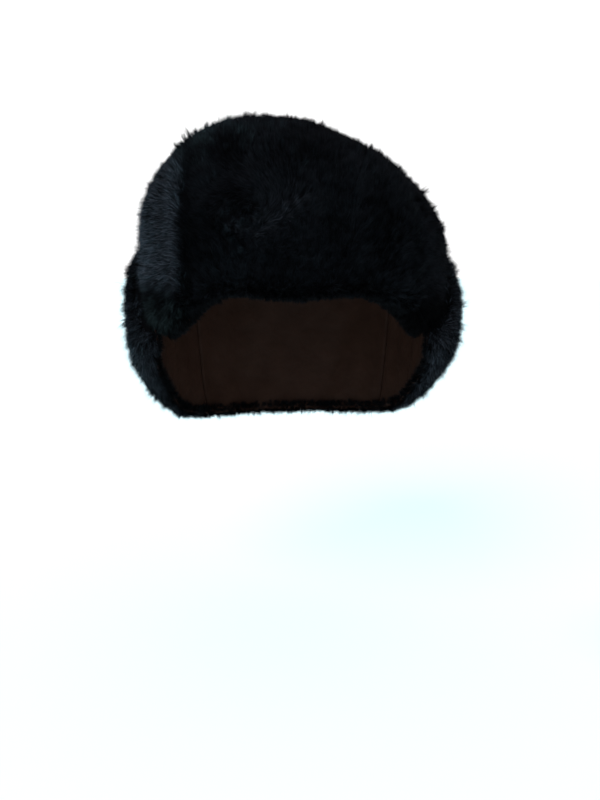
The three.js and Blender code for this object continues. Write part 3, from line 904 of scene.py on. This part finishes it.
class HAT_OT_front_backing(Operator):
    """Cotton leaf between the turned-up front flap and the crown"""

    bl_idname = "hat.front_backing"
    bl_label = "Front flap backing"
    columns = 64
    rows = 30

    def execute(self, context):
        form = Form(context.scene.hat_sizes)
        across, up = grid(np.linspace(-1, 1, self.columns), np.linspace(0, 1, self.rows))
        start = PELT_END + FRONT_GAP
        outer = form.front_point(across, up, np.full_like(up, start + FRONT_BACKING))
        inner = form.front_point(across, up, np.full_like(up, start))
        made = new_object(
            "front_flap_cotton", wall_mesh("front_flap_cotton", outer, inner),
            cotton(context.scene.hat_colours),
        )
        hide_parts("front_flap_backing")
        return {"FINISHED"}


def pelt(name, node_name, under, inner, colours, ring=False, dome=False):
    """The pelt and its dense underfur, as a closed body that stands for a CAD node."""
    made = new_object(name, wall_mesh(name, under, inner, ring, dome), underfur(colours))
    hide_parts(node_name)
    return made


class HAT_OT_crown_fur(Operator):
    """Pelt and fur of the crown"""

    bl_idname = "hat.crown_fur"
    bl_label = "Crown fur"
    columns = 180
    rows = 40
    edge_round = 24 * MM
    side_round = 3 * MM
    crease_round = 7 * MM
    crease_depth = 0.6
    full_level = 0.7
    shortest_hair = 0.7
    # Places of the fur, in degrees of turn, levels of the dome or heights: where each fades in or out
    temple_turns = (36, 46, 80, 100)
    temple_reach = 16 * MM
    temple_sweep = 1.3
    top_turns = (70, 110)
    top_levels = (0.3, 0.55)
    top_upright = 0.75
    top_hair = 0.75
    # Painted shade on top, where the fur stands up
    painted_top_shade = 0.3
    # Painted shade low at the temples, where the fur rolls under
    low_heights = (-6 * MM, 10 * MM)
    painted_low_shade = 0.08
    # Painted light low on the back of the crown
    back_turns = (95, 130)
    back_levels = (0.55, 0.95)
    painted_back_light = 2.3
    # Painted light on the strip of the crown's right side that the key light catches, with denser hair there
    lit_turns = (76, 130)
    lit_heights = (2 * MM, 15 * MM, 80 * MM, 94 * MM)
    painted_key_light = 3.9
    lit_density = 1.5
    # Painted shade on fur that faces the key light
    painted_key_shade = 0.8

    def dress(self, hide, turn, level, way):
        """Sweeps the fur back at the temples, stands it up on top, and sets its density, painted light and
        shade.
        """
        at = np.abs(wrap(turn))
        height = hide.points[..., 2]
        temple = band(at, *self.temple_turns) * smooth(0, self.temple_reach, way)
        back = unit(np.array([0.0, 1.0, 0.0]) - hide.normal * hide.normal[..., 1:2])
        swept = unit(hide.down + self.temple_sweep * back)
        hide.down = unit(lerp(hide.down, swept, temple[..., None]))
        top = (1 - smooth(*self.top_turns, at)) * smooth(*self.top_levels, level)
        hide.lean = 1 - self.top_upright * top
        hide.hair = hide.hair * lerp(1, self.top_hair, top)
        # Strip of painted light on the crown's right side, where the hair also grows denser
        lit = band(height, *self.lit_heights) * (1 - smooth(*self.lit_turns, at))
        lit = np.where(wrap(turn) < 0, lit, 0)
        hide.weight = hide.weight * lerp(1, self.lit_density, lit)
        low = (1 - smooth(*CREASE_TURNS[:2], at)) * (1 - smooth(*self.low_heights, height))
        behind = smooth(*self.back_turns, at) * (1 - smooth(*self.back_levels, level))
        # Painted shade on top, low at the temples and on fur facing the key light; painted light on the back
        # and the strip
        light = lerp(lerp(1, self.painted_top_shade, top), self.painted_low_shade, low)
        light = light * (1 - self.painted_key_shade * smooth(*KEYWARD, -hide.normal[..., 0]))
        hide.light = lerp(lerp(light, self.painted_back_light, behind), self.painted_key_light, lit)

    def execute(self, context):
        form, look = Form(context.scene.hat_sizes), context.scene.hat_fur
        colours = context.scene.hat_colours
        turns = np.linspace(-180, 180, self.columns + 1)
        turn, share = grid(turns, edge_spaced(self.rows) * DOME_END)
        level, way = form.crown_way(turn, share)
        beside = form.beside_front(turn, level)
        at = np.abs(wrap(turn))
        depth = lerp(read(FUR_DEPTH, "turn", "share", at), 1, np.clip(level / self.full_level, 0, 1))
        depth *= rounded(beside, self.side_round)
        free = 1 - smooth(*CREASE_TURNS[:2], at)
        roll = lerp(1, rounded(way + THINNEST, self.edge_round), free)
        creased = lerp(self.crease_depth, 1, rounded(way, self.crease_round))
        roll *= lerp(1, creased, band(at, *CREASE_TURNS))
        thick = PELT_WALL + look.underfur * form.size.fur_pile * depth
        under = form.crown_point(turn, level, PELT_START + thick * roll)
        inner = form.crown_point(turn, level, np.full_like(level, PELT_START))
        pelt("crown_pelt", "crown_fur", under[:, :-1], inner[:, :-1], colours, ring=True, dome=True)
        hair = look.hair_length * lerp(self.shortest_hair, 1, depth * roll)
        hide = Hide(under, -1, hair, np.where(beside > 0, 1.0, 0.0), ring=True)
        hide.normal[-1] = (0, 0, 1)
        self.dress(hide, turn, level, way)
        half = self.columns // 2
        grow("crown_hair_right", hide.part(slice(0, half + 1)), look, rabbit_fur(colours))
        grow("crown_hair_left", hide.part(slice(half, None)), look, rabbit_fur(colours))
        return {"FINISHED"}


class HAT_OT_front_fur(Operator):
    """Pelt and fur of the turned-up front flap"""

    bl_idname = "hat.front_fur"
    bl_label = "Front flap fur"
    columns = 96
    rows = 44
    density = 1.1
    side_round = 3.5 * MM
    edge_round = 9 * MM
    fold_round = 9 * MM
    fold_depth = 0.15
    shortest_hair = 0.5
    fold_rows = 6
    fold_hair = 3.5 * MM
    fold_bulge = 1.2 * MM
    fold_start = 7 * MM
    fold_step = 3
    # Painted shade on the fold of pelt under the brim
    painted_fold_shade = 0.2
    swirl_place = (-20 * MM, -118 * MM, 50 * MM)
    swirl_reach = 28 * MM
    # Painted sheen round the swirl
    painted_swirl_sheen = 0.45
    # Strip of painted light where the key light falls: its heights, where it ends, and the painted shadow
    # beside it
    lit_heights = (-4 * MM, 8 * MM, 66 * MM, 80 * MM)
    lit_end = -61 * MM
    lit_fade = 0.8 * MM
    painted_key_light = 3.4
    shade = 0.6
    shade_place = 4 * MM
    shade_reach = 3 * MM
    # Painted shade on fur that faces the key light
    painted_key_shade = 0.65

    def fold(self, form):
        """Strip of pelt under the brim, from the turned-up flap to the lining, as far as the ear flaps."""
        end = FLAP_FRONT_TURN - 1
        turn, share = grid(np.linspace(-end, end, self.columns), np.linspace(0, 1, self.fold_rows))
        at_brim = np.full_like(turn, -1)
        beside = np.abs(turn) - read_side(FRONT_SIDE, "level", turn, at_brim)
        start = lerp(FRONT_START + self.fold_start, PELT_END, smooth(-self.fold_step, self.fold_step, beside))
        edge = form.seam_height(turn) - FRONT_LIP - self.fold_bulge * np.sin(np.pi * share)
        return form.crown_point(turn, at_brim, lerp(start, 0, share), edge)

    def light_of(self, hide):
        """Painted light and shade of the tips over the flap."""
        above = band(hide.points[..., 2], *self.lit_heights)
        past = hide.points[..., 0] - self.lit_end
        from_swirl = np.linalg.norm(hide.points - np.array(self.swirl_place), axis=-1)
        light = 1 - self.shade * above * bell(past - self.shade_place, self.shade_reach)
        light *= 1 + self.painted_swirl_sheen * bell(from_swirl, self.swirl_reach)
        light *= 1 - self.painted_key_shade * smooth(*KEYWARD, -hide.normal[..., 0])
        return lerp(light, self.painted_key_light, (1 - smooth(0, self.lit_fade, past)) * above)

    def execute(self, context):
        form, look = Form(context.scene.hat_sizes), context.scene.hat_fur
        colours = context.scene.hat_colours
        across, up = grid(2 * edge_spaced(self.columns) - 1, edge_spaced(self.rows))
        flat = form.front_point(across, up, np.full_like(up, FRONT_START))
        width = np.linalg.norm(np.diff(flat, axis=1), axis=-1).sum(axis=1)[:, None]
        height = np.linalg.norm(np.diff(flat, axis=0), axis=-1).sum(axis=0)[None, :]
        side = (1 - np.abs(across)) / 2 * width
        depth = rounded(side + THINNEST, self.side_round)
        depth = depth * rounded((1 - up) * height + THINNEST, self.edge_round)
        depth *= lerp(self.fold_depth, 1, rounded(up * height, self.fold_round))
        under = form.front_point(across, up, FRONT_START + look.underfur * form.size.front_pile * depth)
        pelt("front_flap_pelt", "front_flap_fur", under, flat, colours)
        hide = Hide(under, 1, look.hair_length * lerp(self.shortest_hair, 1, depth))
        # Painted light and shade of the flap's fur
        hide.light = self.light_of(hide)
        swirl = (np.array(self.swirl_place), self.swirl_reach)
        grow("front_flap_hair", hide, look, rabbit_fur(colours), swirl, self.density)
        fold = Hide(self.fold(form), 1, self.fold_hair)
        if fold.normal[..., 2].sum() > 0:
            fold.normal = -fold.normal
        # Painted shade on the fold
        fold.light *= self.painted_fold_shade
        grow("front_fold_hair", fold, look, rabbit_fur(colours))
        return {"FINISHED"}


class HAT_OT_flap_furs(Operator):
    """Pelts and fur of the two ear flaps and the neck flap"""

    bl_idname = "hat.flap_furs"
    bl_label = "Flap fur"
    degrees_a_column = 1.5
    rows = 44
    edge_round = 12 * MM
    crease_round = 7 * MM
    crease_depth = 0.7
    shortest_hair = 0.75
    density = {"ear_flap_left": 1.0, "neck_flap": 0.85, "ear_flap_right": 1.0}
    # Painted light of each flap's fur
    light = {"ear_flap_left": 3, "neck_flap": 2.3, "ear_flap_right": 2.3}
    front_steps = 40
    # Strip that turns over the edge: its width inside, its bends as shares of it, its reach and its hair
    turned_width = 5 * MM
    turned_start = 0.3
    turned_in = 0.6
    turned_reach = 2 * MM
    turned_hair = 4 * MM
    turned_rows = 6
    # Painted shade on the turned strip
    painted_turned_shade = 0.35

    def turned_edge(self, form, name, start, end):
        """Strip of pelt that turns over the free edge of a flap and covers the rim of its lining."""
        front = np.linspace(0, 1, self.front_steps, endpoint=False)
        along = np.linspace(start, end, round(end - start))
        if name == "ear_flap_left":
            edge_turn = np.concatenate([np.full_like(front, start), along])
            edge_drop = np.concatenate([front, np.ones_like(along)])
        elif name == "ear_flap_right":
            edge_turn = np.concatenate([along, np.full_like(front, end)])
            edge_drop = np.concatenate([np.ones_like(along), front[::-1]])
        else:
            edge_turn, edge_drop = along, np.ones_like(along)
        height = form.seam_height(edge_turn) + form.size.flap_drop
        strips = []
        for share in np.linspace(0, 1, self.turned_rows):
            inset = self.turned_width * max(0, share - self.turned_start) / (1 - self.turned_start)
            reach = math.degrees(inset / form.size.half_width)
            low = start + reach if name == "ear_flap_left" else start
            high = end - reach if name == "ear_flap_right" else end
            out = lerp(PELT_END, LINING_WALL - self.turned_reach, smooth(0, self.turned_in, share))
            turn = np.clip(edge_turn, low, high)
            drop = np.minimum(edge_drop, 1 - inset / height)
            strips.append(form.flap_point(turn, drop, np.full_like(turn, out)))
        return np.array(strips)

    def execute(self, context):
        form, look = Form(context.scene.hat_sizes), context.scene.hat_fur
        colours = context.scene.hat_colours
        for name in FLAPS:
            start, end = flap_turns(name)
            columns = round((end - start) / self.degrees_a_column)
            turn, drop = grid(np.linspace(start, end, columns), edge_spaced(self.rows))
            flat = form.flap_point(turn, drop, np.full_like(turn, PELT_START))
            height = (flat[0, :, 2] - flat[-1, :, 2])[None, :]
            at = np.abs(wrap(turn))
            from_front = np.radians(at - FLAP_FRONT_TURN) * form.size.half_width
            depth = rounded((1 - drop) * height + THINNEST, self.edge_round)
            depth *= rounded(from_front + THINNEST, self.edge_round)
            creased = lerp(self.crease_depth, 1, rounded(drop * height, self.crease_round))
            depth *= lerp(1, creased, 1 - smooth(*CREASE_TURNS[2:], at))
            thick = PELT_WALL + look.underfur * form.size.flap_pile
            under = form.flap_point(turn, drop, PELT_START + thick * depth)
            pelt(f"{name}_pelt", f"{name}_fur", under, flat, colours)
            hide = Hide(under, 1, look.hair_length * lerp(self.shortest_hair, 1, depth))
            # Painted light of the flap's fur
            hide.light *= self.light[name]
            grow(f"{name}_hair", hide, look, rabbit_fur(colours), density=self.density[name])
            turned = self.turned_edge(form, name, start, end)
            hide = Hide(turned, 1, self.turned_hair)
            # Painted shade on the turned strip
            hide.light *= self.painted_turned_shade
            if hide.normal[-1, turned.shape[1] // 2].dot(flat[-1, columns // 2] * [1, 1, 0]) > 0:
                hide.normal = -hide.normal
            grow(f"{name}_edge_hair", hide, look, rabbit_fur(colours))
        return {"FINISHED"}


class HAT_OT_stage(Operator):
    """Floor, lights and camera"""

    bl_idname = "hat.stage"
    bl_label = "Stage"
    floor_height = -0.241
    floor_half = 8.0
    lamps = (
        ("key", 8.5, 20, (0.9, -0.25, -0.3), (0.5, 0.91, 1.0)),
        ("fill", 1.2, 30, (0.35, 0.7, -0.6), (1.0, 0.97, 1.0)),
    )
    camera_place = (0.0044, -0.600, 0.026)
    camera_pitch = 9.6
    camera_lens = 39.8

    def execute(self, context):
        scene = context.scene
        colours = scene.hat_colours
        mesh = bpy.data.meshes.new("floor")
        half, low = self.floor_half, self.floor_height
        mesh.from_pydata([(-half, -half, low), (half, -half, low), (half, half, low), (-half, half, low)],
                         [], [(0, 1, 2, 3)])
        floor = bpy.data.objects.new("floor", mesh)
        scene.collection.objects.link(floor)
        material, _, shader = new_material("Painted board")
        shader.inputs["Base Color"].default_value = [*colours.floor, 1]
        shader.inputs["Roughness"].default_value = 0.9
        mesh.materials.append(material)

        scene.view_settings.view_transform = "Standard"
        world = bpy.data.worlds.new("Studio")
        world.use_nodes = True
        tree = world.node_tree
        tree.nodes.clear()
        seen = node(tree, "ShaderNodeBackground", {"Color": (1, 1, 1, 1), "Strength": 1.2})
        lit = node(tree, "ShaderNodeBackground", {"Color": (0.98, 0.97, 1, 1), "Strength": 0.5})
        ray = node(tree, "ShaderNodeLightPath")
        mixed = node(
            tree, "ShaderNodeMixShader",
            {0: ray.outputs["Is Camera Ray"], 1: lit.outputs[0], 2: seen.outputs[0]},
        )
        node(tree, "ShaderNodeOutputWorld", {"Surface": mixed.outputs[0]})
        scene.world = world

        for name, energy, angle, way, tint in self.lamps:
            sun = bpy.data.lights.new(name, "SUN")
            sun.energy = energy
            sun.angle = math.radians(angle)
            sun.color = tint
            lamp = bpy.data.objects.new(name, sun)
            lamp.rotation_euler = Vector(way).to_track_quat("-Z", "Y").to_euler()
            scene.collection.objects.link(lamp)

        camera = bpy.data.objects.new("camera", bpy.data.cameras.new("camera"))
        scene.collection.objects.link(camera)
        camera.location = self.camera_place
        camera.rotation_euler = (math.radians(90 - self.camera_pitch), 0, 0)
        camera.data.lens = self.camera_lens
        camera.data.sensor_width = 36
        camera.data.clip_start = 0.01
        scene.camera = camera
        return {"FINISHED"}


class HAT_PT_panel(Panel):
    """Sizes, fur and colours of the hat, and the steps that build it"""

    bl_idname = "HAT_PT_panel"
    bl_label = "Fur Hat"
    bl_space_type = "VIEW_3D"
    bl_region_type = "UI"
    bl_category = "Fur Hat"

    def draw(self, context):
        for group in (context.scene.hat_sizes, context.scene.hat_fur, context.scene.hat_colours):
            box = self.layout.box()
            for name in group.__annotations__:
                box.prop(group, name)
        for operator in OPERATORS:
            self.layout.operator(operator.bl_idname)


OPERATORS = (
    HAT_OT_crown_lining, HAT_OT_flap_linings, HAT_OT_front_backing,
    HAT_OT_crown_fur, HAT_OT_front_fur, HAT_OT_flap_furs, HAT_OT_stage,
)
GROUPS = {"hat_sizes": HatSizes, "hat_fur": FurLook, "hat_colours": HatColours}


def register():
    for cls in (*GROUPS.values(), *OPERATORS, HAT_PT_panel):
        bpy.utils.register_class(cls)
    for name, group in GROUPS.items():
        setattr(bpy.types.Scene, name, PointerProperty(type=group))


def unregister():
    for name in GROUPS:
        delattr(bpy.types.Scene, name)
    for cls in reversed((*GROUPS.values(), *OPERATORS, HAT_PT_panel)):
        bpy.utils.unregister_class(cls)


def main():
    register()
    bpy.ops.hat.crown_lining()
    bpy.ops.hat.flap_linings()
    bpy.ops.hat.front_backing()
    bpy.ops.hat.crown_fur()
    bpy.ops.hat.front_fur()
    bpy.ops.hat.flap_furs()
    bpy.ops.hat.stage()


if __name__ == "__main__":
    main()
